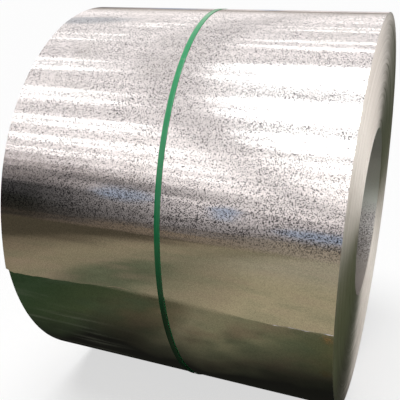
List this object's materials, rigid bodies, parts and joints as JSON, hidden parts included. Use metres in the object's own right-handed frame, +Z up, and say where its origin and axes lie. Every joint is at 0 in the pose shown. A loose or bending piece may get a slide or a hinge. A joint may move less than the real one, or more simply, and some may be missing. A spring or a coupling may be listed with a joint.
{
  "type": "steel coil",
  "caption": "Roll of galvanised steel strip with an open round bore, lying on its side, its outer wrap held shut by a plastic strap.",
  "frame": {"origin": "on the floor under the middle of the coil, at the lowest point of the strap", "axes": "+X along the bore toward the end that the picture shows, -Y toward the picture's viewer, +Z up"},
  "size_m": [0.9, 1.1588, 1.1573],
  "materials": {
    "galvanised_steel": "zinc coating with a fine spangle",
    "green_strap": "smooth polyester strapping"
  },
  "bodies": {
    "root": {"coil": "galvanised_steel", "strap": "green_strap"}
  },
  "joints": []
}
